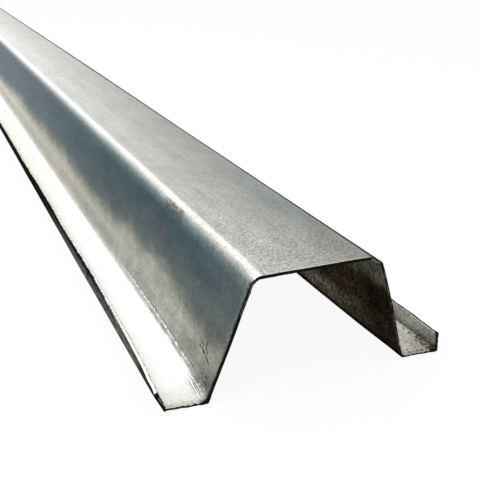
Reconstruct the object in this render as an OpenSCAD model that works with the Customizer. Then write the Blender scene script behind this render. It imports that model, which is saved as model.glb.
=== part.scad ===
// Lipped omega profile: one strip of galvanised steel, cold-bent along its length into a crown,
// two leaning webs, two feet and two upturned lips. Lengths are millimetres, angles are degrees.
// The origin is at mid-length, on the centreline, level with the underside of the feet.
// +Z is up through the crown and +Y runs along the length.

/* [Section] */
// Width over the crown, between its sharp outer corners
crown_w = 60; // [30:1:100]
// Height from the underside of the feet to the top of the crown
height = 55; // [25:1:100]
// Lean of each web from the vertical
web_lean = 20; // [0:1:35]
// Width of each foot underneath, from the inner face of the web to the outside of the lip
foot_w = 20; // [14:1:40]
// Height of each lip from the underside of the foot
lip_h = 10; // [6:0.5:20]

/* [Strip] */
// Thickness of the steel strip
sheet_t = 1.5; // [1:0.1:2.5]
// Inside radius of the two wide bends beside the crown
crown_r = 4.5; // [1:0.5:6]
// Inside radius of the two tight bends where a web meets its foot
foot_r = 0.5; // [0.2:0.1:2]
// Inside radius of the two tight bends where a foot turns up into its lip
lip_r = 0.5; // [0.2:0.1:2]

/* [Stock] */
// Length that the profile is cut to
length = 2000; // [500:50:6000]

/* [Hidden] */

// How far a web's foot stands out from the crown's corner, on the strip's upper face
web_run = (height - sheet_t) * tan(web_lean);
// At a web's two bends, the lower face's sharp corner is this much nearer the centreline than the upper's
mitre = sheet_t * tan((90 - web_lean) / 2);
// Distance of each part of the section from the centreline
crown_x = crown_w / 2;
foot_x = crown_x + web_run;
lip_x = foot_x - mitre + foot_w;

// Sharp corners of the right half, each with its radius: outwards along the strip's upper face to the
// lip's edge, then back along its lower face. The two faces of a bend share one centre.
RIGHT = [
    [crown_x, height, crown_r + sheet_t],
    [foot_x, sheet_t, foot_r],
    [lip_x - sheet_t, sheet_t, lip_r],
    [lip_x - sheet_t, lip_h, 0],
    [lip_x, lip_h, 0],
    [lip_x, 0, lip_r + sheet_t],
    [foot_x - mitre, 0, foot_r + sheet_t],
    [crown_x - mitre, height - sheet_t, crown_r]
];
LEFT = [for (i = [len(RIGHT) - 1 : -1 : 0]) [-RIGHT[i].x, RIGHT[i].y, RIGHT[i].z]];
OUTLINE = concat(RIGHT, LEFT);
COUNT = len(OUTLINE);

// An arc is drawn this much over its radius, so that it crosses its two straights in clean corners
hair = 0.0005;

function point(i) = [OUTLINE[i].x, OUTLINE[i].y];
function unit(v) = v / norm(v);
// Directions from corner i along the outline, back to the corner before it and on to the one after it
function back(i) = unit(point((i + COUNT - 1) % COUNT) - point(i));
function on(i) = unit(point((i + 1) % COUNT) - point(i));
// The outline runs clockwise, so a corner that bulges outwards has a positive product here
function bulges(i) = cross(back(i), on(i)) > 0;

// What lies between corner i's sharp point and its arc, with a tip that reaches a little past the point
module between(i) {
    radius = OUTLINE[i].z;
    half = acos(back(i) * on(i)) / 2;
    centre = point(i) + unit(back(i) + on(i)) * radius / sin(half);
    run = radius / tan(half);
    difference() {
        polygon([
            point(i) + on(i) * run,
            point(i) + (point(i) - centre) / 5,
            point(i) + back(i) * run
        ]);
        translate(centre)
            circle(r = radius + hair, $fn = 96);
    }
}

// The section, standing on the X axis: its hollow corners are filled out to their arcs, and then its
// bulging corners are cut back to theirs
module section() {
    rounded = [for (i = [0 : COUNT - 1]) if (OUTLINE[i].z > 0) i];
    difference() {
        union() {
            polygon([for (i = [0 : COUNT - 1]) point(i)]);
            for (i = rounded)
                if (!bulges(i))
                    between(i);
        }
        for (i = rounded)
            if (bulges(i))
                between(i);
    }
}

module omega_profile() {
    color("silver")
        rotate([90, 0, 0])
            linear_extrude(height = length, center = true)
                section();
}

omega_profile();
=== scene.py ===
"""Visual model of a lipped omega profile: a long bar of bent, hot-dip galvanised strip.

Lengths inside the classes are millimetres and become metres when a mesh or a lamp is made. The
frame is the CAD's: X across the section, Y along the bar with the photographed end at -Y, Z up.
"""

import logging
import math
from dataclasses import dataclass, field
from enum import Enum

import bpy
import numpy as np
from mathutils import Matrix, Vector


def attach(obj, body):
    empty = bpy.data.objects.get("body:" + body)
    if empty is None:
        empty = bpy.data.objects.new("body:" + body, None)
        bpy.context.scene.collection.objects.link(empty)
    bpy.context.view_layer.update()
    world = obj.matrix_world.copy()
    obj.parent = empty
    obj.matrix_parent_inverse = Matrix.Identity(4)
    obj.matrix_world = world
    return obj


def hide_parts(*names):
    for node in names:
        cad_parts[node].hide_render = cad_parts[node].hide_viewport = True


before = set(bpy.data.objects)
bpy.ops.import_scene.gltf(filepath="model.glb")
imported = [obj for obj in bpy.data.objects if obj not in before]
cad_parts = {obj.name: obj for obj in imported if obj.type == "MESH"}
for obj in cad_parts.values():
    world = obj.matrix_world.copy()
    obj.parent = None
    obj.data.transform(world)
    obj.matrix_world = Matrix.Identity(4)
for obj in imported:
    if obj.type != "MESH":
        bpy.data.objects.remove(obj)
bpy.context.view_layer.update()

LOG = logging.getLogger("omega_profile")
MM = 0.001
BODY = "root"
NODE = "omega_profile"

Pair = tuple[float, float]
Place = tuple[float, float, float]
Marks = tuple[Pair, ...]
Colour = tuple[float, float, float, float]
Socket = bpy.types.NodeSocket
Ramp = tuple[Socket, float, float] | tuple[Socket, float, float, float, float]
Factor = Socket | float | Ramp
Stops = dict[float, tuple[tuple[float, str], ...]]
Settings = dict[str, object]
Inputs = dict[str | int, object]
WHITE: Colour = (1.0, 1.0, 1.0, 1.0)


# Small tools shared by the piece and its finishes


def linear(hex_colour: str) -> Colour:
    """Turn an sRGB hex colour into linear red, green, blue and alpha.

    Args:
        hex_colour: six hexadecimal digits, without a leading mark.

    Returns:
        The linear colour with alpha 1, as the shader sockets want it.
    """
    parts = [int(hex_colour[i : i + 2], 16) / 255 for i in (0, 2, 4)]
    red, green, blue = (c / 12.92 if c <= 0.04045 else ((c + 0.055) / 1.055) ** 2.4 for c in parts)
    return red, green, blue, 1.0


def add_node(
    tree: bpy.types.NodeTree, kind: str, settings: Settings | None = None, inputs: Inputs | None = None
) -> bpy.types.Node:
    """Add one node, with its settings, values and links.

    Args:
        tree: the node tree that gets the node.
        kind: the node's type name without its first part, ShaderNode.
        settings: attributes of the node itself, by name.
        inputs: input sockets by name or number, each a plain value or an output socket to link from.

    Returns:
        The new node.
    """
    made = tree.nodes.new("ShaderNode" + kind)
    for name, value in (settings or {}).items():
        setattr(made, name, value)
    for key, value in (inputs or {}).items():
        socket = made.inputs[key]
        if isinstance(value, Socket):
            tree.links.new(value, socket)
        else:
            socket.default_value = value
    return made


def ease(value: np.ndarray) -> np.ndarray:
    """Smooth step from 0 to 1: 3 v^2 - 2 v^3 with v held between 0 and 1."""
    held = np.clip(value, 0.0, 1.0)
    return held * held * (3 - 2 * held)


def through(marks: Marks, at: np.ndarray) -> np.ndarray:
    """Pass a smooth line through marks without overshooting them.

    It is a cubic between two marks. Its slope at a mark is the harmonic mean of the slopes on either
    side, and none at the ends and where those two differ in sign.

    Args:
        marks: places and values, the places rising.
        at: the places wanted; past either end the last value holds.

    Returns:
        The values there.
    """
    places, values = np.array(marks, float).T
    gaps = np.diff(places)
    rises = np.diff(values) / gaps
    product = rises[:-1] * rises[1:]
    total = np.where(product > 0, rises[:-1] + rises[1:], 1.0)
    slopes = np.concatenate([[0.0], np.where(product > 0, 2 * product / total, 0.0), [0.0]])
    n = np.clip(np.searchsorted(places, at, side="right") - 1, 0, len(gaps) - 1)
    t = np.clip((at - places[n]) / gaps[n], 0.0, 1.0)
    level = values[n] + (values[n + 1] - values[n]) * t * t * (3 - 2 * t)
    return level + gaps[n] * t * (1 - t) * (slopes[n] * (1 - t) - slopes[n + 1] * t)


@dataclass(frozen=True)
class Swell:
    """A soft, irregular swell: the sum of slanted sine waves, each with a height, a width and a length."""

    seed: int
    waves: tuple[Place, ...]

    def at(self, across: np.ndarray, along: np.ndarray) -> np.ndarray:
        """Sum height * sin(2 pi (across / width + along / length) + a seeded phase) over the waves.

        Args:
            across: first measure, in the unit of the widths.
            along: second measure, in the unit of the lengths.

        Returns:
            The height at each place.
        """
        phases = np.random.default_rng(self.seed).uniform(0, 2 * math.pi, len(self.waves))
        heights, widths, lengths = np.array(self.waves).T
        turns = across[..., None] / widths + along[..., None] / lengths
        return np.sum(heights * np.sin(2 * math.pi * turns + phases), axis=-1)


# The bar


class Flat(Enum):
    """The straights of the strip, from the centreline outwards, with the steps that each is cut into."""

    CROWN = 10
    WEB = 16
    FOOT = 12
    LIP = 8


@dataclass(frozen=True)
class Half:
    """One half of the strip, and how far its bends are from the drawing.

    Each set of marks gives a fault at distances in mm from the photographed end, where the shear bent
    the section: degrees that the crown is rolled up to the right, the web splayed, the foot tilted up
    and the lip leant out, and mm that the web is short. The lip is low by some mm all along. The bow
    gives how far the strip stands out along its normal at that end, in mm at distances from the
    centreline, and fades out along the bar. The fillet is the radius to which zinc has filled the
    fold's inner corner.
    """

    sign: int
    splay: Marks
    tilt: Marks
    lean: Marks
    short: Marks
    fillet: float
    roll: Marks = ((0, 0.7), (24, 0.0))
    low: float = 0.0
    bow: Marks = ((0, 0.0), (100, 0.0))
    bow_fades: float = 560.0


LEFT = Half(
    sign=-1,
    splay=((0, -0.3), (20, 0.0)),
    tilt=((0, 3.4), (14, 0.0)),
    lean=(
        (0, 26.5), (3, 22.8), (6, 20.4), (12, 18.2), (18, 14.5), (26, 12.2), (44, 8.7), (75, 6.3), (99, 4.8),
        (125, 1.2), (142, 1.0), (175, 2.8), (200, 4.6), (220, 3.2), (236, 1.0), (280, 2.4), (360, 5.4),
        (560, 7.5), (900, 0.0),
    ),
    short=((0, 0.1), (20, 0.0)),
    fillet=4.0,
)
RIGHT = Half(
    sign=1,
    splay=((0, 0.9), (40, 0.2), (100, -0.3), (300, -0.2), (600, 0.0)),
    tilt=((0, -3.4), (25, -1.0), (60, 0.0)),
    lean=((0, -4.8), (34, -2.4), (140, 0.0)),
    short=((0, 0.4), (30, 0.0)),
    low=0.3,
    bow=(
        (0, 0.0), (24.3, 0.0), (29.2, -0.95), (32.8, 0.6), (38, 0.6), (48, 0.35), (58, -0.1), (66, -0.5),
        (76, -0.9), (84, -0.6), (92, 0.0),
    ),
    fillet=2.5,
)
NEAR_DROP: Marks = ((0, 0.45), (24, 0.0))


@dataclass(frozen=True)
class Borders:
    """Where each straight ends and the next starts: mm from the centreline, along the strip."""

    crown: float
    crown_next: float
    web: float
    web_next: float
    foot: float
    foot_next: float
    lip: float


@dataclass(frozen=True)
class Section:
    """The strip's cross-section, in mm and degrees, with the same sizes as the CAD source.

    The outer corners are sharpened by a share of the way to a true corner, and the web's steps are
    bunched towards its two ends.
    """

    crown_w: float = 60.0
    height: float = 55.0
    web_lean: float = 20.0
    foot_w: float = 20.0
    lip_h: float = 10.0
    sheet_t: float = 1.5
    crown_r: float = 4.5
    foot_r: float = 0.5
    lip_r: float = 0.5
    bend_steps: tuple[int, ...] = (10, 6, 6)
    sharpening: float = 0.85
    bunching: float = 0.11

    def runs(self) -> dict[Flat, float]:
        """Shorten each straight by radius * tan(half the turn) at each of its sharp corners.

        Returns:
            The lengths of the straights in mm.
        """
        turn = math.tan(math.radians(90 - self.web_lean) / 2)
        thick = self.sheet_t
        slope = (self.height - thick) / math.cos(math.radians(self.web_lean))
        return {
            Flat.CROWN: self.crown_w / 2 - (self.crown_r + thick) * turn,
            Flat.WEB: slope - (self.crown_r + thick + self.foot_r) * turn,
            Flat.FOOT: self.foot_w - (self.foot_r + thick) * turn - self.lip_r - thick,
            Flat.LIP: self.lip_h - self.lip_r - thick,
        }

    def bends(self) -> list[tuple[float, float, int]]:
        """List the bends from the crown out.

        Returns:
            Each one's turn in radians, mid-strip radius in mm and number of steps.
        """
        turn = math.radians(90 - self.web_lean)
        radii = (inner + self.sheet_t / 2 for inner in (self.crown_r, self.foot_r, self.lip_r))
        return list(zip((-turn, turn, math.pi / 2), radii, self.bend_steps, strict=True))

    def borders(self) -> Borders:
        """Walk along the straights and bends from the centreline.

        Returns:
            Where each of them ends.
        """
        runs = list(self.runs().values())
        arcs = [abs(turn) * radius for turn, radius, _ in self.bends()]
        steps = [step for pair in zip(runs[:-1], arcs, strict=True) for step in pair]
        return Borders(*np.cumsum([*steps, runs[-1]]).tolist())

    def worked(self, across: np.ndarray) -> tuple[np.ndarray, np.ndarray]:
        """Tell how far the folds' faces stand out from bends of even thickness.

        The outer face of a fold or of a lip's bend runs towards its sharp corner: radius * (1 / cos(half
        the turn - the angle from the middle) - 1). The inner face of a fold is filled to its fillet: the
        gap at the corner, falling off with the square of the distance from the fillet's ends.

        Args:
            across: distances from the centreline in mm, negative on the left.

        Returns:
            How far the upper face and the lower face stand out, in mm.
        """
        b, away = self.borders(), np.abs(across)
        filled, sharpened = np.zeros(len(across)), np.zeros(len(across))
        _, fold, lip_bend = self.bends()
        for start, end, bend in ((b.web, b.web_next, fold), (b.foot, b.foot_next, lip_bend)):
            half_turn = abs(bend[0]) / 2
            off = np.abs(away - (start + end) / 2)
            angle = half_turn * np.clip(1 - 2 * off / (end - start), 0, 1)
            sharpened += self.sharpening * (bend[1] + self.sheet_t / 2) * (1 / np.cos(angle) - 1)
            if start == b.web:
                radius = np.where(across < 0, LEFT.fillet, RIGHT.fillet)
                depth = (radius - self.foot_r) * (1 / math.cos(half_turn) - 1)
                filled += depth * np.clip(1 - off / (radius * math.tan(half_turn)), 0, 1) ** 2
        return filled, sharpened

    def walk(self, half: Half, along: np.ndarray) -> tuple[np.ndarray, np.ndarray, np.ndarray]:
        """Walk the strip's middle from the centreline to one lip's edge, on every ring at once.

        A straight adds distance * (cos heading, sin heading). A bend's centre is one radius to the side
        that it turns to, and its points lie round that as the heading swings. The half's faults change
        the headings from ring to ring, and the bow comes on top along the normal.

        Args:
            half: which half, with its faults.
            along: distances of the rings from the photographed end, in mm.

        Returns:
            Points and upper normals as rings x steps x 2 (x and z), and the distance walked at each step.
        """
        faults = (half.roll, half.splay, half.tilt, half.lean)
        roll, splay, tilt, lean = (np.radians(through(marks, along)) for marks in faults)
        short = through(half.short, along)
        swings = [splay - roll * half.sign, tilt - splay, -lean - tilt]
        at = np.tile([0.0, self.height - self.sheet_t / 2], (len(along), 1))
        heading, walked = roll * half.sign, 0.0
        points, normals, distances = [], [], []
        bends = [*self.bends(), None]
        for number, (flat, run) in enumerate(self.runs().items()):
            steps = np.linspace(0, 1, flat.value + 1)
            steps = steps - self.bunching * np.sin(2 * math.pi * steps) * (flat is Flat.WEB)
            reached = run - short * (flat is Flat.WEB) - half.low * (flat is Flat.LIP)
            ahead = np.stack([np.cos(heading), np.sin(heading)], 1)
            points.append(at[:, None] + steps[None, :, None] * (reached[:, None] * ahead)[:, None])
            facing = np.stack([-ahead[:, 1], ahead[:, 0]], 1)
            normals.append(np.broadcast_to(facing[:, None], points[-1].shape))
            distances.append(walked + steps * run)
            at, walked = at + reached[:, None] * ahead, walked + run
            if bends[number]:
                drawn, radius, count = bends[number]
                turn = drawn + swings[number]
                reach = math.copysign(radius, drawn)
                centre = at + reach * facing
                steps = np.linspace(0, 1, count + 1)
                swung = heading[:, None] + steps[None, :] * turn[:, None]
                around = np.stack([-np.sin(swung), np.cos(swung)], 2)
                curve = centre[:, None] - reach * around
                points.append(curve[:, 1:-1])
                normals.append(around[:, 1:-1])
                distances.append(walked + steps[1:-1] * abs(drawn) * radius)
                at, heading, walked = curve[:, -1], heading + turn, walked + abs(drawn) * radius
        mirror = np.array([half.sign, 1.0])
        middle, facing = np.concatenate(points, 1) * mirror, np.concatenate(normals, 1) * mirror
        walked_all = np.concatenate(distances)
        fade = 1 - ease(along / half.bow_fades)
        middle = middle + facing * (fade[:, None] * through(half.bow, walked_all)[None, :])[..., None]
        return middle, facing, walked_all * half.sign


@dataclass
class OmegaProfile:
    """The bar: the strip's section carried along its length, with the small faults of rolling and cutting.

    The strip is one block of points, counted along the bar, across the strip and through its
    thickness, of which only the outside is kept. So the faces, the slit edges and the sheared ends
    share their corners and the skin is closed. The layers are counted from -1 on the lower face to 1 on
    the upper one. The rollover is how far the shear drew in the upper and the lower edge. The cut and
    the fray swell across the strip and its layers, the slit along the bar. A hook's size is its reach
    down the lip and along the bar.
    """

    section: Section = field(default_factory=Section)
    length: float = 2000.0
    rings: int = 345
    near_step: float = 0.9
    layers: tuple[float, ...] = (-1.0, -0.8, 0.62, 1.0)
    ripple: Swell = Swell(
        11, ((1.0, 260.0, 171.0), (0.7, -190.0, 93.0), (0.6, 340.0, 410.0), (0.25, 120.0, 47.0))
    )
    cut: Swell = Swell(23, ((0.09, 31.0, 18.0), (0.06, 7.3, 10.0), (0.05, 3.1, 6.0)))
    fray: Swell = Swell(29, ((1.0, 5.3, 9.0), (0.8, 2.3, 7.0)))
    slit: Swell = Swell(37, ((0.10, 900.0, 23.0), (0.08, 900.0, 9.7), (0.07, 900.0, 4.3)))
    rollover: Pair = (0.16, 0.08)
    burr: float = 0.22
    hook_size: Pair = (2.0, 2.2)
    hook_left: float = 0.2
    hook_right: float = -0.1
    name: str = "profile_bar"

    def along(self) -> np.ndarray:
        """Space the rings from the photographed end, dense there: a t + (1 - a) t^3 of the length.

        Returns:
            The distance of each ring in mm.
        """
        t = np.linspace(0, 1, self.rings)
        a = self.near_step * (self.rings - 1) / self.length
        return self.length * (a * t + (1 - a) * t**3)

    def middle(self) -> tuple[np.ndarray, np.ndarray, np.ndarray, np.ndarray]:
        """Join both halves into the strip's middle surface and let it ripple.

        The ripple moves a point along its normal by a swell of long waves, whose height differs from one
        part of the section to the next.

        Returns:
            Points and normals as rings x steps x 2, the distance across at each step and along at each ring.
        """
        along = self.along()
        left, right = (self.section.walk(half, along) for half in (LEFT, RIGHT))
        points, normals = (np.concatenate([left[i][:, :0:-1], right[i]], 1) for i in (0, 1))
        across = np.concatenate([left[2][:0:-1], right[2]])
        b = self.section.borders()
        heights = (
            (0.0, 0.10), (b.crown, 0.03), (b.crown_next, 0.03), (58.0, 0.22), (b.web, 0.02), (b.foot, 0.02),
            (b.lip, 0.10),
        )
        ripple = self.ripple.at(across[None, :], along[:, None]) * through(heights, np.abs(across))[None, :]
        drop = np.stack([np.zeros(len(along)), through(NEAR_DROP, along)], 1)[:, None, :]
        return points - drop + normals * ripple[..., None], normals, across, along

    def block(self) -> tuple[np.ndarray, dict[str, np.ndarray]]:
        """Give the strip its thickness and its worked edges.

        A point is the middle + layer * half the thickness * normal. At a sheared end the outer layers
        draw back by the rollover, the lower one runs out again as a burr, and the whole cut wanders by a
        swell. A slit edge is drawn in and wanders too, along the surface's own direction.

        Returns:
            Points as rings x steps x layers x 3 in mm, and the values that the finishes read.
        """
        middle, normals, across, along = self.middle()
        layer = np.array(self.layers)
        half_t = self.section.sheet_t / 2
        out = normals[:, :, None, :]
        flat = middle[:, :, None, :] + out * (layer * half_t)[None, None, :, None]
        shape = flat.shape[:3]
        s = np.broadcast_to(across[None, :, None], shape)
        d = np.broadcast_to(along[:, None, None], shape)
        w = np.broadcast_to(layer[None, None, :], shape)
        upper, lower = w == max(self.layers), w == min(self.layers)
        rounded = self.rollover[0] * upper + self.rollover[1] * lower

        # The sheared ends: how far each point is drawn back into the bar
        frayed = self.burr * np.clip(self.fray.at(s, w), 0, 1) * lower
        cut = rounded + self.cut.at(s, w) - frayed
        cut[1:-1] = 0
        cut[-1] *= -1
        y = d - self.length / 2 + cut

        # The slit edges: how far the outermost points are drawn in along the lip
        edge = np.zeros(shape[1])
        edge[[0, -1]] = (1.0, -1.0)
        drawn_in = edge[None, :, None] * (rounded + self.slit.at(s, d))
        tangent = np.stack([normals[..., 1], -normals[..., 0]], 2)[:, :, None, :]
        flat = flat + tangent * drawn_in[..., None]

        # Hooked corners where the shear met the top of each lip: pushed over along the upper normal
        deep, long = self.hook_size
        top = ease((np.abs(s) - self.section.borders().lip + deep) / deep)
        hook = top * ease((long - d) / long) * np.where(s < 0, self.hook_left, self.hook_right)

        # The folds: sharp outside, filled inside
        filled, sharpened = self.section.worked(across)
        worked = filled[None, :, None] * upper - sharpened[None, :, None] * lower
        flat = flat + out * hook[..., None] + out * worked[..., None]

        points = np.stack([flat[..., 0], y, flat[..., 1]], -1)
        return points, {"across": s, "along": d, "depth": (1 - w) / 2}

    def skin(self, shape: tuple[int, int, int]) -> tuple[np.ndarray, np.ndarray]:
        """Join the outside of the block into quads that face outwards.

        Args:
            shape: number of rings, of steps across and of layers.

        Returns:
            The quads' corner numbers in the whole block, and for each quad 1 on a cut edge, 2 on the
            underside and 0 on the upper face.
        """
        ids = np.arange(np.prod(shape)).reshape(shape)
        sheets = [
            (ids[:, :, -1], False, 0), (ids[:, :, 0], True, 2), (ids[:, 0, :], False, 1),
            (ids[:, -1, :], True, 1), (ids[0, :, :], True, 1), (ids[-1, :, :], False, 1),
        ]
        quads, kinds = [], []
        for grid, turned, kind in sheets:
            corners = [grid[:-1, :-1], grid[1:, :-1], grid[1:, 1:], grid[:-1, 1:]]
            quad = np.stack(corners if turned else corners[::-1], -1).reshape(-1, 4)
            quads.append(quad)
            kinds.append(np.full(len(quad), kind))
        return np.concatenate(quads), np.concatenate(kinds)

    def build(self, finishes: list[bpy.types.Material]) -> bpy.types.Object:
        """Make the bar's mesh, give it its attributes and finishes, and put it in the place of the CAD node.

        Args:
            finishes: the finish of the upper face, of the cut edges and of the underside.

        Returns:
            The bar's object.
        """
        points, values = self.block()
        quads, kinds = self.skin(points.shape[:3])
        used, quads = np.unique(quads, return_inverse=True)
        mesh = bpy.data.meshes.new(self.name)
        mesh.from_pydata(points.reshape(-1, 3)[used] * MM, [], quads.reshape(-1, 4))
        for name, value in values.items():
            layer = mesh.attributes.new(name, "FLOAT", "POINT")
            layer.data.foreach_set("value", value.reshape(-1)[used].astype(np.float32))
        for finish in finishes:
            mesh.materials.append(finish)
        mesh.polygons.foreach_set("material_index", kinds.astype(np.int32))
        mesh.polygons.foreach_set("use_smooth", kinds != 1)
        mesh.update()
        bar = bpy.data.objects.new(self.name, mesh)
        bpy.context.scene.collection.objects.link(bar)
        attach(bar, BODY)
        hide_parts(NODE)
        return bar


# Finishes


@dataclass
class Coat:
    """A finish in the making: its material, the sockets that tell a place on the strip, and its colour.

    across and along are distances in mm from the centreline and from the photographed end, place holds
    both as one vector, depth goes from 0 on the upper face to 1 on the lower one, b tells where the
    strip's straights end, and tone is the colour so far.
    """

    name: str
    b: Borders
    tone: Socket | Colour = WHITE
    material: bpy.types.Material = field(init=False)
    across: Socket = field(init=False)
    along: Socket = field(init=False)
    depth: Socket = field(init=False)
    place: Socket = field(init=False)

    def __post_init__(self) -> None:
        """Make an empty material that reads the strip's own measures."""
        self.material = bpy.data.materials.new(self.name)
        self.material.use_nodes = True
        self.material.node_tree.nodes.clear()
        self.across, self.along, self.depth = (
            self.node("Attribute", {"attribute_name": name}, output="Fac")
            for name in ("across", "along", "depth")
        )
        self.place = self.node("CombineXYZ", inputs={"X": self.across, "Y": self.along})

    def node(
        self, kind: str, settings: Settings | None = None, inputs: Inputs | None = None, output: str | int = 0
    ) -> Socket:
        """Add a node to the finish as add_node does, and give one of its outputs."""
        return add_node(self.material.node_tree, kind, settings, inputs).outputs[output]

    def past(self, border: float, start: float, end: float, *shares: float) -> Ramp:
        """Give the ramp across the strip that goes from start to end, in mm past a border."""
        return (self.across, border + start, border + end, *shares)

    def pattern(
        self,
        size: Pair,
        seed: float,
        span: Pair = (0, 1),
        edges: Pair = (0.3, 0.7),
        detail: float = 2,
        at: Socket | None = None,
        onto: Socket | None = None,
    ) -> Socket:
        """Lay out an irregular pattern on the strip.

        Args:
            size: size of its patches across and along, in mm.
            seed: how far the pattern is shifted, so that two patterns differ.
            span: the values that it goes between.
            edges: the noise levels that become the span's ends.
            detail: how many finer layers lie on it.
            at: another place vector in mm, where the pattern doesn't run straight.
            onto: a value that the pattern is added to.

        Returns:
            The pattern's value.
        """
        scale = (1 / size[0], 1 / size[1], 1)
        inputs = {"Vector": at or self.place, "Location": (seed, seed, seed), "Scale": scale}
        scaled = self.node("Mapping", inputs=inputs)
        inputs = {"Vector": scaled, "Scale": 1, "Detail": detail, "Roughness": 0.55}
        value = self.region((self.node("TexNoise", inputs=inputs), *edges, *span))
        return self.node("Math", {"operation": "ADD"}, {0: onto, 1: value}) if onto else value

    def region(self, *factors: Factor) -> Socket | float:
        """Multiply factors into one share.

        Args:
            *factors: numbers, sockets or ramps. A ramp is a value, the places where the share is 0 and 1,
                and the two shares there if they are others.

        Returns:
            The product.
        """
        share: Socket | float | None = None
        for factor in factors:
            if isinstance(factor, tuple):
                value, start, end, low, high = (*factor, 0, 1)[:5]
                factor = self.node(
                    "MapRange",
                    {"interpolation_type": "SMOOTHSTEP"},
                    {"Value": value, "From Min": start, "From Max": end, "To Min": low, "To Max": high},
                )
            if share is not None:
                factor = self.node("Math", {"operation": "MULTIPLY"}, {0: share, 1: factor})
            share = factor
        return share

    def mix(self, under: Socket | Colour, over: str, *factors: Factor) -> Socket:
        """Lay an sRGB hex colour over another colour, in the factors' share."""
        inputs = {0: self.region(*factors), 6: under, 7: linear(over)}
        return self.node("Mix", {"data_type": "RGBA"}, inputs, output=2)

    def paint(self, over: str, *factors: Factor) -> None:
        """Lay an sRGB hex colour over the tone so far, in the factors' share."""
        self.tone = self.mix(self.tone, over, *factors)

    def shade(self, shading: Socket | float, *factors: Factor) -> None:
        """Multiply the tone so far by a number.

        Args:
            shading: the number.
            *factors: the factors of the share in which it acts.
        """
        if factors:
            inputs = {0: self.region(*factors), 2: 1, 3: shading}
            shading = self.node("Mix", {"data_type": "FLOAT"}, inputs)
        inputs = {0: self.tone, "Scale": shading}
        self.tone = self.node("VectorMath", {"operation": "SCALE"}, inputs)

    def tones(self, at: Socket, stops: Stops) -> None:
        """Start the tone with colours laid out across the strip.

        Args:
            at: distance from the centreline in mm.
            stops: for each border in mm, the distances past it and their colours, all rising.
        """
        reach = self.b.lip
        share = self.node("MapRange", inputs={"Value": at, "From Min": -reach, "From Max": reach})
        ramp = add_node(self.material.node_tree, "ValToRGB", inputs={0: share})
        keys = ramp.color_ramp.elements
        placed = [(border + off, colour) for border, group in stops.items() for off, colour in group]
        for number, (where, colour) in enumerate(placed):
            position = (where + reach) / (2 * reach)
            key = keys[number] if number < 2 else keys.new(position)
            key.position, key.color = position, linear(colour)
        self.tone = ramp.outputs["Color"]

    def finish(
        self, metallic: Socket | float, rough: Socket, relief: Socket, relief_mm: float, rim: Socket | Colour
    ) -> bpy.types.Material:
        """Put the relief, the shader and the output at the end of the tree.

        Args:
            metallic: share of bare metal.
            rough: roughness.
            relief: height of the fine relief, 0 to 1.
            relief_mm: that height in mm.
            rim: tint of the mirroring at grazing angles, dulled by a film of grime on the underside and by
                painted reflection and painted shade on the face.

        Returns:
            The finished material.
        """
        inputs = {"Strength": 0.4, "Distance": relief_mm * MM, "Height": relief}
        bump = self.node("Bump", inputs=inputs)
        inputs = {"Base Color": self.tone, "Metallic": metallic, "Roughness": rough, "Specular Tint": rim}
        shader = self.node("BsdfPrincipled", inputs={**inputs, "Normal": bump})
        add_node(self.material.node_tree, "OutputMaterial", inputs={"Surface": shader})
        return self.material


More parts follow.
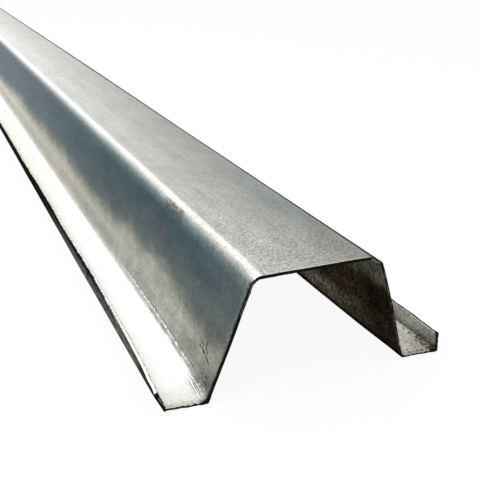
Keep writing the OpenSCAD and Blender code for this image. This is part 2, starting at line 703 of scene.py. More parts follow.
@dataclass(frozen=True)
class GalvanisedFace:
    """Hot-dip galvanised, cold-rolled strip, on the face that the rolls and the weather reached.

    Zinc is a dull, cool metal, chalky white on the left foot. Its colour holds painted light: a painted
    highlight along the crown's left bend, a painted reflection as a dark blue-grey band on the upper
    webs, painted shade on the crown's right bend, and a crown painted lighter at its left and the metal
    lighter far away. A fine mottled grain, faint lengthwise roll lines and a few stains and scratches
    lie over it.

    The slopes are mm along per mm across for the brushing, which leans 36 degrees off square, and mm
    across per mm along for the grooves. Marks that are seen near the end fade by near: between two
    distances along, from one share to another. Each scratch runs between two places, across and along.
    """

    chalk: str = "fffffd"
    painted_highlight: str = "ffffff"
    crown_left: str = "bfc0ba"
    crown_mid: str = "abaca6"
    crown_right: str = "94958f"
    painted_reflection: str = "4a5c63"
    bare: str = "bcbab0"
    low_zinc: str = "aeaea5"
    fold_shade_grey: str = "bcbdb9"
    shade_line: str = "1f211c"
    right_foot: str = "faf7ea"
    right_lip: str = "9c9e96"
    stain: str = "857c62"
    groove: str = "4c4c45"
    dirt: str = "1d1b15"
    steel: str = "0f0e0a"
    scratch: str = "24261f"
    brush_slope: float = -0.726
    groove_slope: float = -0.03
    groove_pitch: float = 1.05
    scratch_half: float = 0.4
    relief_mm: float = 0.02
    near: tuple[float, float, float, float] = (330, 30, 0.2, 1)
    scratches: tuple[tuple[float, float, float, float], ...] = (
        (-67.6, 20.7, -68.3, 18.0),
        (-67.9, 17.6, -70.2, 16.9),
        (-69.8, 17.3, -71.4, 13.7),
        (-64.9, 15.1, -68.7, 14.7),
        (-68.2, 14.9, -69.7, 11.6),
        (-70.7, 13.0, -72.8, 8.2),
        (-69.9, 20.5, -70.4, 18.9),
    )

    def stops(self, b: Borders) -> Stops:
        """List the tones across the strip, from the left lip to the right one.

        Args:
            b: where the strip's straights end.

        Returns:
            For each border, the distances past it and their colours.
        """
        return {
            -b.lip: ((0, self.chalk),),
            # Past the left fold: painted shade grading across the fold, then the lower web, then a painted
            # reflection as a dark blue-grey band up the web
            -b.web: (
                (1.3, self.chalk), (2.1, "e9eae6"), (3.1, "cdcecb"), (4.6, self.fold_shade_grey), (6.4, "abaca5"),
                (9, self.low_zinc), (13.5, self.bare), (17.2, "a4a397"), (21.5, "7d8179"), (26.5, "656e6c"),
                (41, self.painted_reflection),
            ),
            # The crown's left bend: the painted reflection band fades into a painted highlight along the bend
            -b.crown: (
                (-10.5, self.painted_reflection), (-7.4, "65767c"), (-5.2, "7d8686"), (-3.8, "979892"), (-2.8, "c6c7c2"),
                (-2.1, self.painted_highlight), (-0.7, self.painted_highlight), (0.2, "d0d2cd"), (1.2, self.crown_left),
                (14, "b9bab3"),
            ),
            # The crown, painted lighter at its left than at its right: painted light and shade
            0: ((-4, self.crown_mid),),
            # The right bend: painted shade where the surface turns away, then the painted reflection band
            # again on the right web
            b.crown: ((-7, self.crown_right), (-1.2, "8b8c86"), (1, "6d6e68"), (9, "5f6e74")),
            b.web: ((-14, "989990"), (1, self.right_foot)),
            b.foot: ((-0.8, self.right_foot), (1.2, self.right_lip)),
            b.lip: ((0, "cfd1c8"),),
        }

    def make(self, b: Borders) -> bpy.types.Material:
        """Build the finish.

        Args:
            b: where the strip's straights end.

        Returns:
            The material.
        """
        coat = Coat("galvanised_face", b)
        where = self.drifted(coat)
        coat.tones(where, self.stops(b))
        for lay in (
            self.weather, self.crown_marks, self.web_marks, self.foot_marks, self.fold_line,
            self.groove_lines, self.pits, self.scratched, self.soiled_end,
        ):
            lay(coat)

        # A painted shade line on the bend at the right of the crown, seen only edge on, where the surface
        # turns away
        shade_line_pattern = coat.pattern((1.5, 30), 83, (0, 1.1), (0.2, 0.5), 1)
        shade_line_zone = coat.region(coat.past(b.crown, -0.3, 0.9), (shade_line_pattern, 0, 0.5, 0.75, 1))
        shade_line_zone = coat.region(shade_line_zone, coat.past(b.crown, 9, 5))
        coat.paint(self.shade_line, shade_line_zone)

        # The chalk and the painted shade line aren't bare metal; the mirroring at grazing angles is dulled on
        # the painted reflection band and made dark on the shade line
        chalky = coat.region(coat.past(-b.web, 1, 2.6, 0.1, 1))
        dusty = coat.region(coat.past(b.web_next, -1, 2, 1, 0.25))
        metal = coat.region(chalky, dusty, coat.region((shade_line_zone, 0, 1, 1, 0.1)))
        painted_reflection_zone = coat.region((where, -b.web + 14, -b.web + 30), (where, -b.crown - 4, -b.crown - 8))
        rim = coat.mix(coat.mix(WHITE, "c4c8ca", painted_reflection_zone), "1c1d1a", shade_line_zone)
        rough = coat.mix(coat.pattern((2, 6), 19, (0.26, 0.38)), "f4f4f4", shade_line_zone)
        grain = coat.pattern((1.2, 1.6), 13, edges=(0.2, 0.8), detail=3)
        grain = coat.region(grain, chalky, (coat.along, 900, 300, 0.2, 1))
        return coat.finish(metal, rough, grain, self.relief_mm, rim)

    def drifted(self, coat: Coat) -> Socket:
        """Push the borders between the tones about, most of all on the webs.

        Args:
            coat: the finish in the making.

        Returns:
            The distance across at which the tones are read, in mm.
        """
        b, along, past = coat.b, coat.along, coat.past
        webs = coat.region(past(-b.web, 8, 24), past(-b.crown, -7, -16))
        broad = coat.region(coat.pattern((40, 170), 3, (-3.5, 3.5), detail=1), webs)
        cloudy = coat.region(coat.pattern((11, 22), 5, (-1.6, 1.6)), webs)

        # The painted highlight at the left of the crown is wider by the sheared end, and the painted
        # reflection band's border under it is brushed
        below = past(-b.crown, -16, -7)
        wide = coat.region((along, 14, 2, 0, 0.4), below, past(-b.crown, 0, -2.5))
        strokes = coat.pattern((5, 2.2), 6, (-0.9, 0.9), detail=3, at=self.brushed(coat))
        ragged = coat.region(strokes, below, past(-b.crown, -3.2, -6), (along, 600, 200, 0.4, 1))
        moved = coat.across
        for push in (broad, cloudy, wide, ragged):
            moved = coat.node("Math", {"operation": "ADD"}, {0: moved, 1: push})
        return moved

    def brushed(self, coat: Coat) -> Socket:
        """Skew the place vector for brushing, whose lines lean off square to the bar.

        Args:
            coat: the finish in the making.

        Returns:
            The skewed place vector.
        """
        inputs = {0: coat.across, 1: self.brush_slope, 2: coat.along}
        leaning = coat.node("Math", {"operation": "MULTIPLY_ADD"}, inputs)
        return coat.node("CombineXYZ", inputs={"X": coat.across, "Y": leaning})

    def weather(self, coat: Coat) -> None:
        """Shade the tone with patches, grain and roll lines, which fade with distance and spare the chalk,
        then with painted light.

        Args:
            coat: the finish in the making.
        """
        b, across, along = coat.b, coat.across, coat.along
        bare = coat.past(-b.web, 1, 4)
        near = (along, *self.near)
        coat.shade(coat.pattern((14, 40), 7, (0.92, 1.06)), bare)
        coat.shade(coat.pattern((7, 10), 8, (0.91, 1.07)), bare, near)
        worms = coat.pattern((1.2, 1.6), 13, (0.56, 1.34), (0.28, 0.72), 3)
        coat.shade(worms, bare, (along, 230, 15, 0, 1), coat.past(-b.crown, -1, 3, 0.55, 1))
        for size, seed, span in (((1.1, 60), 17, (0.96, 1.04)), ((5, 160), 21, (0.95, 1.05))):
            coat.shade(coat.pattern(size, seed, span), bare, (along, 900, 200, 0.4, 1))
        # A painted reflection: the metal lighter far away
        coat.shade(1.24, bare, (along, 160, 700))
        # Painted shade and light on the crown: darker far away and lighter near the end, on its left
        on_crown = coat.past(-b.crown, 0, 4)
        coat.shade(0.96, on_crown, (along, 30, 90), (across, -5, 10, 1, 0.2))
        coat.shade(1.05, on_crown, (along, 50, 20), (across, 0, -12))

    def crown_marks(self, coat: Coat) -> None:
        """Darken the crown with painted shade towards its right edge, cool it there, and leave pale, rusty
        water marks on it.

        Args:
            coat: the finish in the making.
        """
        across, along = coat.across, coat.along
        # Painted shade in patches towards the crown's right edge, not at the very end
        patchy_shade = coat.pattern((12, 30), 25, (0.4, 1.1), (0.35, 0.6), 3)
        coat.shade(0.81, patchy_shade, (across, 0, 20), (along, 170, 40), (along, 5, 28, 0.2, 1))
        coat.paint("687f7b", (across, 4, 17), (along, 40, 70), (along, 170, 105), 0.3)
        drops = coat.pattern((2.2, 5), 45, (0.15, 1), (0.4, 0.6), 3)
        upper = (across, -13, -8.5), (across, -2.5, -7), (along, 33, 42), (along, 56, 46)
        coat.paint("ccc6ab", *upper, drops, 0.5)
        lower = (across, -12, -9), (across, -5, -8), (along, 3, 7.5), (along, 15, 10)
        coat.paint("b3a787", *lower, drops, 0.45)

    def web_marks(self, coat: Coat) -> None:
        """Tint, smudge and brush the left web.

        Args:
            coat: the finish in the making.
        """
        b, across, along, past = coat.b, coat.across, coat.along, coat.past

        # The painted reflection band is bluer and paler far away and warmer near the end, where it has two
        # smudges
        coat.paint("6f8593", (along, 120, 700, 0, 0.45), past(-b.web, 18, 30), past(-b.crown, -5, -9))
        coat.paint("8a8474", past(-b.web, 22, 30), past(-b.crown, -4, -7), (along, 55, 20), 0.14)
        streaks = coat.pattern((1.1, 4.5), 26, (0.25, 1), (0.38, 0.56), 3)
        olive = (across, -35.6, -33.2), (across, -28.6, -29.6), (along, 76, 84), (along, 112, 100)
        coat.paint("4d5044", *olive, streaks, 0.9)
        blotch = coat.pattern((5, 9), 27, (0, 1), (0.35, 0.6), 3)
        reddish = (across, -52, -48), (across, -38, -41), (along, 84, 92), (along, 122, 110)
        coat.paint("5b504a", *reddish, blotch, 0.4)

        # Upright brushing, strongest low down, with pale clouds
        bare, low_web = past(-b.web, 1, 4), past(-b.web, 30, 20)
        near = (along, *self.near)
        fine = coat.pattern((10, 1.2), 29, (0.94, 1.06), at=self.brushed(coat))
        coat.shade(fine, bare, past(-b.crown, -5, -9), near)
        coat.shade(coat.pattern((8, 10), 30, (0.85, 1.15), detail=4), bare, low_web, near)

        # The lower web is duller towards the end, and dark in the fold's last few millimetres
        coat.shade(0.87, bare, low_web, (along, 75, 20))
        ragged = coat.pattern((1.6, 2.4), 31, (0.35, 1), detail=3)
        coat.paint("45463f", bare, past(-b.web, 12, 5), (along, 13, 3), ragged)

    def foot_marks(self, coat: Coat) -> None:
        """Warm the left foot's chalk far away and speckle it at the end, and stain the metal.

        Args:
            coat: the finish in the making.
        """
        b, along, past = coat.b, coat.along, coat.past
        foot = past(-b.web, 2, 1)
        coat.paint("fcf8ee", foot, (along, 120, 420))
        coat.paint("bdbcb0", foot, (along, 17, 4), coat.pattern((1.1, 1.2), 33, (0, 0.95), (0.45, 0.62), 3))
        speckled = coat.pattern((1, 1.6), 34, (0, 0.9), (0.4, 0.58), 3)
        coat.paint("a3a49b", past(-b.lip, 3.4, 1.4), (along, 55, 14), speckled)
        coat.paint("f3efe6", foot, (along, 22, 6), 0.6)

        # Yellowish and cool water stains
        near = (along, *self.near)
        stained = coat.pattern((6, 9), 41, (0, 0.3), (0.58, 0.74), 3)
        coat.paint(self.stain, past(-b.web, 1, 4), stained, near)
        cool = coat.pattern((9, 14), 43, (0, 0.5), (0.55, 0.75))
        coat.paint("7f8d92", (coat.across, -5, 12), cool, near)

    def fold_line(self, coat: Coat) -> None:
        """Draw the left fold's upper border, which climbs the web a little along the bar.

        It is a painted highlight: a thin bright line with bright glints on it, and a thin line of painted
        shade above it. Towards the end the grey between it and the foot is scored by dark lines.

        Args:
            coat: the finish in the making.
        """
        along = coat.along
        climb = coat.region((along, 0, 75, -coat.b.web - 1.2, -coat.b.web + 0.45))
        ridge = coat.node("Math", {"operation": "SUBTRACT"}, {0: coat.across, 1: climb})
        slanted = coat.node("CombineXYZ", inputs={"X": ridge, "Y": along})
        fading, begins = (along, 150, 100), (along, 14, 30)
        # Painted shade: a thin dark line above the fold
        above = coat.pattern((0.9, 6), 51, (0.35, 1), (0.4, 0.6), 1, slanted)
        coat.paint("4d4e47", (ridge, 4.7, 5.1), (ridge, 6, 5.3), fading, above, 0.9)
        scored = coat.pattern((0.6, 9), 53, (0, 0.9), (0.44, 0.56), 1, slanted)
        coat.paint("77776f", (ridge, 1.4, 2.4), (ridge, 4.8, 4.2), (along, 130, 50), scored)
        # Painted highlights: a thin bright line along the fold with glints on it
        line = coat.pattern((0.8, 6), 57, (0.2, 0.9), (0.4, 0.55), 1)
        coat.paint("dedfdb", (ridge, 4, 4.3), (ridge, 4.9, 4.6), begins, fading, line)
        bead_glints = coat.pattern((2.1, 2), 47, edges=(0.53, 0.58), detail=0)
        coat.paint("ffffff", (ridge, 3.5, 4), (ridge, 5.4, 4.9), begins, fading, bead_glints)

    def groove_lines(self, coat: Coat) -> None:
        """Draw the grooves that the rolls scored into the left foot by the fold, strongest at the end.

        They are a sine wave across the strip, one pitch from groove to groove, that runs a little askew.

        Args:
            coat: the finish in the making.
        """
        b, along, past = coat.b, coat.along, coat.past
        inputs = {0: along, 1: self.groove_slope, 2: coat.across}
        askew = coat.node("Math", {"operation": "MULTIPLY_ADD"}, inputs)
        inputs = {0: askew, 1: math.tau / self.groove_pitch}
        turns = coat.node("Math", {"operation": "MULTIPLY"}, inputs)
        wave = coat.node("Math", {"operation": "SINE"}, {0: turns})
        broken = coat.pattern((1.2, 12), 59, (0, 1), (0.32, 0.5))
        by_fold = past(-b.web, -4.6, -3.4), past(-b.web, 1.6, 0.4)
        coat.paint(self.groove, (wave, -0.1, 0.7), *by_fold, (along, 24, 12), broken)
        speckled = coat.pattern((0.7, 1.3), 60, (0, 0.85), (0.42, 0.58))
        coat.paint("7b7c74", past(-b.web, -1.8, 0.8), past(-b.web, 4.5, 2.5), (along, 30, 9), speckled)
        smudge = coat.pattern((1.3, 1.6), 65, (0, 0.9), (0.5, 0.6))
        coat.paint("2d2e29", past(-b.web, 1.5, 3), past(-b.web, 9, 6), (along, 17, 8), smudge)

    def pits(self, coat: Coat) -> None:
        """Pit and soil the right foot and lip, the pits most of all along the seam between them, and paint
        shade into that seam and onto the lip's lower part.

        Args:
            coat: the finish in the making.
        """
        b, along, past = coat.b, coat.along, coat.past
        fading = (along, 160, 60, 0, 1)
        # Painted shade: a dark line in the corner of the lip's fold, stronger near the end
        coat.paint("45453d", past(b.foot, -0.2, 0.3), past(b.foot, 1.9, 1), (along, 160, 60, 0.3, 0.5))
        on_lip = past(b.foot, 0, 1.5)
        coat.shade(coat.pattern((4, 1.1), 62, (0.8, 1.12)), on_lip)
        coat.shade(0.74, on_lip, (along, 20, 38))
        # Painted shade on the lip's lower part, by the fold
        coat.shade(0.85, past(b.foot, 0, 1), past(b.foot, 6, 2))
        flecks = coat.pattern((1.2, 1.6), 68, (0.5, 1), (0.4, 0.55))
        coat.paint("fffdf6", past(b.foot, -5.5, -3.5), past(b.foot, 0.1, -0.4), flecks, fading, 0.8)

        # Pits thick along the lip, a few by the fold, and black clusters in the end's corner
        pitted = coat.pattern((1.7, 2), 61, (0, 1), (0.55, 0.59), 1)
        by_lip = past(b.foot, -5, -2), past(b.foot, 3.5, 1.5), (along, 30, 6, 0.45, 1)
        coat.paint(self.dirt, pitted, *by_lip, fading)
        sparse = coat.pattern((1.8, 2), 64, (0, 1), (0.62, 0.66), 1)
        coat.paint(self.dirt, sparse, past(b.web_next, 0, 1.5), (along, 9, 4))
        clusters = coat.pattern((1.2, 2.2), 66, (0, 1), (0.5, 0.53), 1)
        coat.paint(self.steel, clusters, past(b.foot, -4.5, -2.5), past(b.foot, 4.5, 2), (along, 18, 12))

        # The foot and lip are duller and warmer at the end and mottled all along, with specks on every face
        right = past(b.web, 0, 1)
        coat.shade(0.87, right, (along, 28, 5))
        coat.paint("776f5a", right, (along, 20, 6), 0.42)
        coat.shade(coat.pattern((1.2, 1.7), 63, (0.84, 1.2), detail=3), right)
        specks = coat.pattern((0.8, 1), 67, (0, 0.5), (0.66, 0.73), 1)
        coat.paint("3a382f", specks, (along, 70, 25))

    def scratched(self, coat: Coat) -> None:
        """Draw thin, wandering scratches.

        The place is measured along a scratch in units of its length and across it in units of its half
        width, a small pattern is added to the second, and what lies within one half width is scratched.

        Args:
            coat: the finish in the making.
        """
        for number, (across, along, across_end, along_end) in enumerate(self.scratches):
            run, rise = across_end - across, along_end - along
            inputs = {
                "Vector": coat.place,
                "Location": (across, along, 0),
                "Rotation": (0, 0, math.atan2(rise, run)),
                "Scale": (math.hypot(rise, run), self.scratch_half, 1),
            }
            on_line = coat.node("Mapping", {"vector_type": "TEXTURE"}, inputs)
            parts = add_node(coat.material.node_tree, "SeparateXYZ", inputs={0: on_line}).outputs
            off = coat.pattern((2.6, 2.6), 73 + number, (-0.9, 0.9), detail=1, onto=parts["Y"])
            away = coat.node("Math", {"operation": "ABSOLUTE"}, {0: off})
            ends = (parts["X"], -0.05, 0.1), (parts["X"], 1.05, 0.8)
            coat.paint(self.scratch, coat.region((away, 1.4, 0.7), *ends), 0.95)

    def soiled_end(self, coat: Coat) -> None:
        """Soil the sheared end of the feet and webs, and brighten that of the crown.

        Args:
            coat: the finish in the making.
        """
        b, past = coat.b, coat.past
        ragged = coat.pattern((1.5, 2.2), 71, (-1.1, 1.1), detail=3, onto=coat.along)
        away = coat.node("Math", {"operation": "ABSOLUTE"}, {0: coat.across})
        coat.paint("d4d6d1", (away, b.crown, b.crown - 3), (coat.along, 1.2, 0.5), 0.55)
        outer = (away, b.crown + 2, b.crown + 6)
        coat.paint("8d8c82", outer, (ragged, 4, 1.2), 0.35)
        coat.paint("4a4940", outer, (ragged, 1.3, 0.3), past(-b.web, -3, 0, 0.35, 0.75))

        # Black corners: at the left fold, and where the right foot turns up
        left = past(-b.web_next, -2.5, 0), past(-b.web, 4.5, 1.5)
        coat.paint(self.dirt, *left, (ragged, 2.8, 1.2), 0.9)
        coat.paint(self.dirt, past(b.foot, -3.5, -1.5), past(b.foot, 4, 2), (ragged, 4.2, 2.4), 0.9)


@dataclass(frozen=True)
class GrimyUnderside:
    """The hidden face of the strip: zinc under a brown film of oil and dust, which looks nearly black, with
    painted shade in the channel near the open end and along the right fold.
    """

    grime: str = "474239"
    thin: str = "8a8b84"
    rust: str = "44301f"
    lip: str = "6b7275"
    lip_end: str = "74746c"
    dirt_and_shade: str = "12110d"
    oily_rim: str = "7f7c70"
    relief_mm: float = 0.03

    def make(self, b: Borders) -> bpy.types.Material:
        """Build the finish.

        Args:
            b: where the strip's straights end.

        Returns:
            The material.
        """
        coat = Coat("grimy_underside", b)
        stops = {
            -b.lip: ((0, self.lip),),
            -b.foot: ((0, self.lip),),
            -b.web: ((0, self.thin), (12, self.grime)),
            -b.crown: ((0, self.thin),),
            b.crown: ((8, "73736c"), (15, "74746c"), (24, self.grime)),
            b.web: ((-20, self.grime), (-11, "74726a"), (0, "605d53")),
            b.foot: ((0, self.lip),),
            b.lip: ((0, self.lip),),
        }
        coat.tones(coat.across, stops)
        self.webs(coat)
        self.lips(coat)
        rough = coat.pattern((5, 9), 9, (0.5, 0.68))
        grain = coat.pattern((1.2, 1.6), 15, edges=(0.2, 0.8), detail=3)
        return coat.finish(1, rough, grain, self.relief_mm, linear(self.oily_rim))

    def webs(self, coat: Coat) -> None:
        """Lay grime, rust, drips and spots on everything between the lips.

        Args:
            coat: the finish in the making.
        """
        b, across, along = coat.b, coat.across, coat.along
        inside = coat.region(coat.past(-b.foot, -0.5, 0), coat.past(b.foot, 0.5, 0))
        coat.paint(self.grime, inside, coat.past(b.web, -20, -12), (along, 60, 25), 0.8)
        # Painted shade in the channel near the open end
        coat.paint("17130b", inside, (across, 44, 50), (along, 32, 12), 0.55)
        coat.shade(1.18, inside, (across, 60, 70), (along, 45, 70))
        # Painted shade from the bottom of the right web's underside outwards, where it meets the fold
        coat.paint(self.dirt_and_shade, inside, coat.past(b.web, -3, -0.8), (along, 900, 500), 0.8)
        coat.shade(coat.pattern((9, 11), 5, (0.72, 1.18), (0.35, 0.7), 4), inside)
        coat.shade(coat.pattern((1.7, 1.4), 6, (0.5, 1.46), detail=3))
        coat.paint(self.rust, coat.pattern((5, 4), 7, (0, 0.5), (0.48, 0.64), 4), inside)
        coat.paint(self.dirt_and_shade, coat.pattern((5, 0.9), 8, (0, 0.6), (0.55, 0.68)), inside)
        spots = coat.pattern((1.9, 2.4), 11, (0, 0.9), (0.57, 0.64))
        coat.paint(self.dirt_and_shade, spots, inside, (across, 46, 52, 0.35, 1), (along, 150, 70, 0.3, 1))

    def lips(self, coat: Coat) -> None:
        """Shade the left lip's outer face.

        It is dark beyond some 15 cm, dusty at the end, fuzzy black under its slit edge, and plain again on
        the bar's far part.

        Args:
            coat: the finish in the making.
        """
        b, along = coat.b, coat.along
        lip, not_far = coat.past(-b.foot, 0, -0.5), (along, 800, 620)
        coat.paint(self.lip_end, lip, (along, 85, 60))
        # Painted shade on the left lip's outer face beyond some 15 cm, plain again far away
        coat.paint(self.dirt_and_shade, lip, (along, 150, 285), not_far)
        coat.paint(self.dirt_and_shade, lip, (along, 46, 14), 0.9)
        streaks = coat.pattern((2.4, 9), 24, (0.5, 1.4), (0.36, 0.64), 3)
        coat.shade(streaks, lip, (along, 190, 110))
        fringe = coat.pattern((1.2, 1.6), 10, (-2.2, 2.2), detail=4, onto=coat.across)
        edge = (fringe, -b.lip + 4.9, -b.lip + 3.1)
        coat.paint("15140d", edge, (along, 60, 130, 0, 0.95), not_far)


@dataclass(frozen=True)
class ShearedEdge:
    """Sheared steel edge: dark and torn, with zinc smeared over parts of it and along the left lip, and
    painted highlights as glints along torn edges.
    """

    steel: str = "0f0e0a"
    torn: str = "322f28"
    smear: str = "f3f2ea"
    crown_smear: str = "a9aba6"
    glint: str = "77766c"
    dull_rim: str = "6a6964"
    metallic: float = 0.7
    relief_mm: float = 0.05

    def make(self, b: Borders) -> bpy.types.Material:
        """Build the finish.

        Args:
            b: where the strip's straights end.

        Returns:
            The material.
        """
        coat = Coat("sheared_edge", b, linear(self.steel))
        coat.paint(self.torn, coat.pattern((1.6, 2.6), 4, (0, 0.8), (0.5, 0.7), 3))
        ragged = coat.pattern((1.8, 5), 14, (-0.22, 0.22), detail=3, onto=coat.depth)
        self.ends(coat, ragged)
        self.slits(coat, ragged)
        rough, grain = coat.pattern((1, 3), 6, (0.4, 0.6)), coat.pattern((0.5, 0.8), 8)
        return coat.finish(self.metallic, rough, grain, self.relief_mm, linear(self.dull_rim))

    def ends(self, coat: Coat, ragged: Socket) -> None:
        """Drag zinc over the sheared ends, and paint highlights on torn edges in them.

        Args:
            coat: the finish in the making.
            ragged: the depth, with a pattern added.
        """
        b, across, depth, past = coat.b, coat.across, coat.depth, coat.past

        # A clean rim on the crown, a wide rough one on the right foot
        coat.paint(self.crown_smear, (depth, 0.12, 0.02), past(-b.crown, -1, 1), past(b.crown, 0, -1), 0.9)
        coat.paint("b9b6aa", past(b.web, -10, -5), past(b.foot, -2, -3.5), (ragged, 0.55, 0.25), 0.9)

        # Painted highlights on torn edges in the middle of the cut, on both webs, and threads of them at the
        # right bend
        broken = coat.pattern((5, 5), 16, (0, 0.9), (0.42, 0.56), 3)
        middle = coat.region((depth, 0.42, 0.5), (depth, 0.68, 0.6))
        for start, end in ((-b.crown_next - 14, -b.crown - 3), (b.crown_next + 5, b.web - 6)):
            on_web = (across, start - 1, start + 1), (across, end + 1, end - 1)
            coat.paint(self.glint, *on_web, middle, broken)
        bend = past(b.crown, -0.5, 0.8), past(b.crown_next, 0, -1.4)
        for low, high, share in ((0.47, 0.54, 0.9), (0.85, 0.9, 0.6)):
            thread = (depth, low - 0.06, low), (depth, high + 0.06, high)
            coat.paint("b4b3a9", *bend, *thread, share)

        # A painted highlight on a torn edge of the left lip's end, and zinc dragged over the left foot's
        lip = past(-b.lip, 1.5, 2.3), past(-b.lip, 6, 3.5)
        coat.paint("a5a59b", *lip, (depth, 0.3, 0.42), (depth, 0.6, 0.5), 0.7)
        dragged = past(-b.lip, 4.5, 6.5), past(-b.web_next, -1, -4)
        coat.paint("dcdad0", *dragged, (ragged, 0.38, 0.22), 0.9)

    def slits(self, coat: Coat, ragged: Socket) -> None:
        """Smear zinc on the lips' slit edges, the left one with dark lines along both its sides.

        Args:
            coat: the finish in the making.
            ragged: the depth, with a pattern added.
        """
        b, along = coat.b, coat.along
        slit = coat.past(-b.lip, 0.6, 0.4), (along, 1, 1.6)
        coat.paint(self.smear, *slit)
        speckled = coat.pattern((1, 1.8), 18, (0.2, 1), (0.42, 0.58))
        coat.paint("6f6f66", *slit, (coat.depth, 0.36, 0.12), (along, 110, 35, 0.1, 1), speckled)
        frayed = coat.pattern((9, 1.8), 22, (-0.22, 0.22), detail=4, onto=coat.depth)
        coat.paint("1b1b16", *slit, (frayed, 0.74, 0.94), (along, 30, 100), (along, 800, 620))
        coat.paint("a3a49b", coat.past(b.lip, -0.6, -0.4), (along, 1, 2), (ragged, 0.42, 0.22))


# The studio


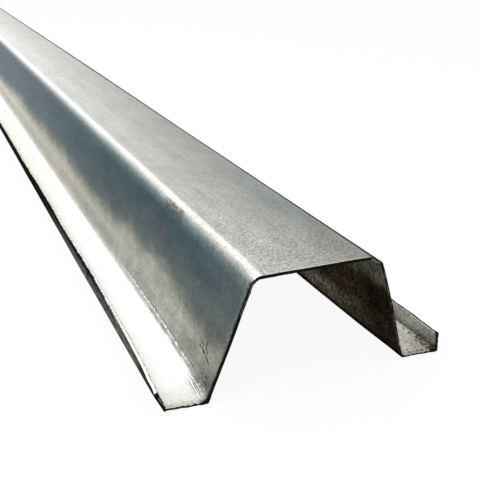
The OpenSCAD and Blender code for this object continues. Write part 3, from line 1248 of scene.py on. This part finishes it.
@dataclass
class Studio:
    """A pale floor, soft lamps and the camera at the photograph's angle.

    floor_white is the share of plain white in what the camera sees of the floor.
    """

    camera_at: Place = (-145.2, -1238.9, 176.3)
    elevation: float = 21.86
    azimuth: float = 24.53
    roll: float = 1.83
    focal_px: float = 733.3
    frame_px: int = 480
    floor_half: float = 6000.0
    floor_z: float = -1.1
    floor_white: float = 0.93
    floor_colour: str = "f4f4f2"
    room_colour: str = "f2f4f6"
    room_light: float = 0.75

    def camera(self) -> bpy.types.Object:
        """Stand the camera at the photograph's angle.

        It looks along (sin a cos e, cos a cos e, -sin e), with its own right and up turned by the roll.

        Returns:
            The camera's object.
        """
        a, e, r = (math.radians(v) for v in (self.azimuth, self.elevation, self.roll))
        ahead = Vector((math.sin(a) * math.cos(e), math.cos(a) * math.cos(e), -math.sin(e)))
        right = Vector((math.cos(a), -math.sin(a), 0))
        up = right.cross(ahead)
        rolled_right = right * math.cos(r) + up * math.sin(r)
        rolled_up = up * math.cos(r) - right * math.sin(r)
        data = bpy.data.cameras.new("camera")
        data.sensor_width = 36.0
        data.lens = self.focal_px * data.sensor_width / self.frame_px
        data.clip_start, data.clip_end = 0.01, 100.0
        camera = bpy.data.objects.new("camera", data)
        turned = Matrix((rolled_right, rolled_up, -ahead)).transposed().to_4x4()
        camera.matrix_world = Matrix.Translation(Vector(self.camera_at) * MM) @ turned
        bpy.context.scene.collection.objects.link(camera)
        bpy.context.scene.camera = camera
        return camera

    def seen(self, tree: bpy.types.NodeTree) -> Socket:
        """Tell the rays that see the background: the camera's, and those mirrored or passed through.

        Args:
            tree: the background's node tree.

        Returns:
            1 for those rays and 0 for all others.
        """
        rays = add_node(tree, "LightPath").outputs
        inputs = {0: rays["Is Camera Ray"], 1: rays["Is Glossy Ray"]}
        either = add_node(tree, "Math", {"operation": "MAXIMUM"}, inputs)
        inputs = {0: either.outputs[0], 1: rays["Is Transmission Ray"]}
        return add_node(tree, "Math", {"operation": "MAXIMUM"}, inputs).outputs[0]

    def floor(self) -> bpy.types.Object:
        """Lay a pale floor under the feet, nearly plain white to the camera, with a faint shadow.

        Returns:
            The floor's object.
        """
        size = self.floor_half * MM
        mesh = bpy.data.meshes.new("floor")
        corners = [(-size, -size), (size, -size), (size, size), (-size, size)]
        mesh.from_pydata([(x, y, self.floor_z * MM) for x, y in corners], [], [(0, 1, 2, 3)])
        material = bpy.data.materials.new("studio_floor")
        material.use_nodes = True
        tree = material.node_tree
        tree.nodes.clear()
        inputs = {0: self.seen(tree), 1: self.floor_white}
        share = add_node(tree, "Math", {"operation": "MULTIPLY"}, inputs)
        paint = add_node(tree, "BsdfDiffuse", inputs={"Color": linear(self.floor_colour)})
        white = add_node(tree, "Emission", inputs={"Color": WHITE})
        inputs = {0: share.outputs[0], 1: paint.outputs[0], 2: white.outputs[0]}
        mixed = add_node(tree, "MixShader", inputs=inputs)
        add_node(tree, "OutputMaterial", inputs={"Surface": mixed.outputs[0]})
        mesh.materials.append(material)
        floor = bpy.data.objects.new("floor", mesh)
        bpy.context.scene.collection.objects.link(floor)
        return floor

    def world(self) -> None:
        """Fill the room with a plain even light that the camera and the metal see as white."""
        world = bpy.data.worlds.new("studio")
        world.use_nodes = True
        tree = world.node_tree
        tree.nodes.clear()
        inputs = {"Color": linear(self.room_colour), "Strength": self.room_light}
        room = add_node(tree, "Background", inputs=inputs)
        white = add_node(tree, "Background", inputs={"Color": WHITE})
        inputs = {0: self.seen(tree), 1: room.outputs[0], 2: white.outputs[0]}
        mixed = add_node(tree, "MixShader", inputs=inputs)
        add_node(tree, "OutputWorld", inputs={"Surface": mixed.outputs[0]})
        bpy.context.scene.world = world

    def lamp(self, name: str, at: Place, size: Pair, radiance: float, aim: Place) -> None:
        """Hang one soft lamp, whose power is pi * radiance * area.

        Args:
            name: the lamp's name.
            at: its place in mm.
            size: its width and height in mm.
            radiance: how bright its face is, where 1 renders as white.
            aim: the point in mm that it faces.
        """
        data = bpy.data.lights.new(name, "AREA")
        data.shape = "RECTANGLE"
        data.size, data.size_y = size[0] * MM, size[1] * MM
        data.energy = math.pi * radiance * data.size * data.size_y
        lamp = bpy.data.objects.new(name, data)
        lamp.location = Vector(at) * MM
        lamp.rotation_euler = (Vector(aim) - Vector(at)).to_track_quat("-Z", "Y").to_euler()
        bpy.context.scene.collection.objects.link(lamp)

    def build(self) -> None:
        """Set up the camera, the floor, the room's light and the lamps."""
        self.camera()
        self.floor()
        self.world()
        self.lamp("top_box", (-400, -500, 2300), (1800, 2400), 1.2, (0, -600, 0))
        self.lamp("left_box", (-1300, -900, 1900), (1500, 1500), 2.5, (0, -700, 0))
        self.lamp("far_panel", (-1300, 2000, 1300), (1800, 1400), 0.8, (0, -600, 100))
        self.lamp("low_panel", (300, 2200, 320), (1300, 560), 0.5, (0, -600, 50))


def main() -> None:
    """Build the bar and its studio."""
    logging.basicConfig(level=logging.INFO, format="%(name)s: %(message)s")
    bpy.context.scene.view_settings.view_transform = "Standard"
    Studio().build()
    LOG.info("studio ready")
    borders = Section().borders()
    finishes = [kind().make(borders) for kind in (GalvanisedFace, ShearedEdge, GrimyUnderside)]
    bar = OmegaProfile().build(finishes)
    LOG.info("%s: %d faces", bar.name, len(bar.data.polygons))


if __name__ == "__main__":
    main()
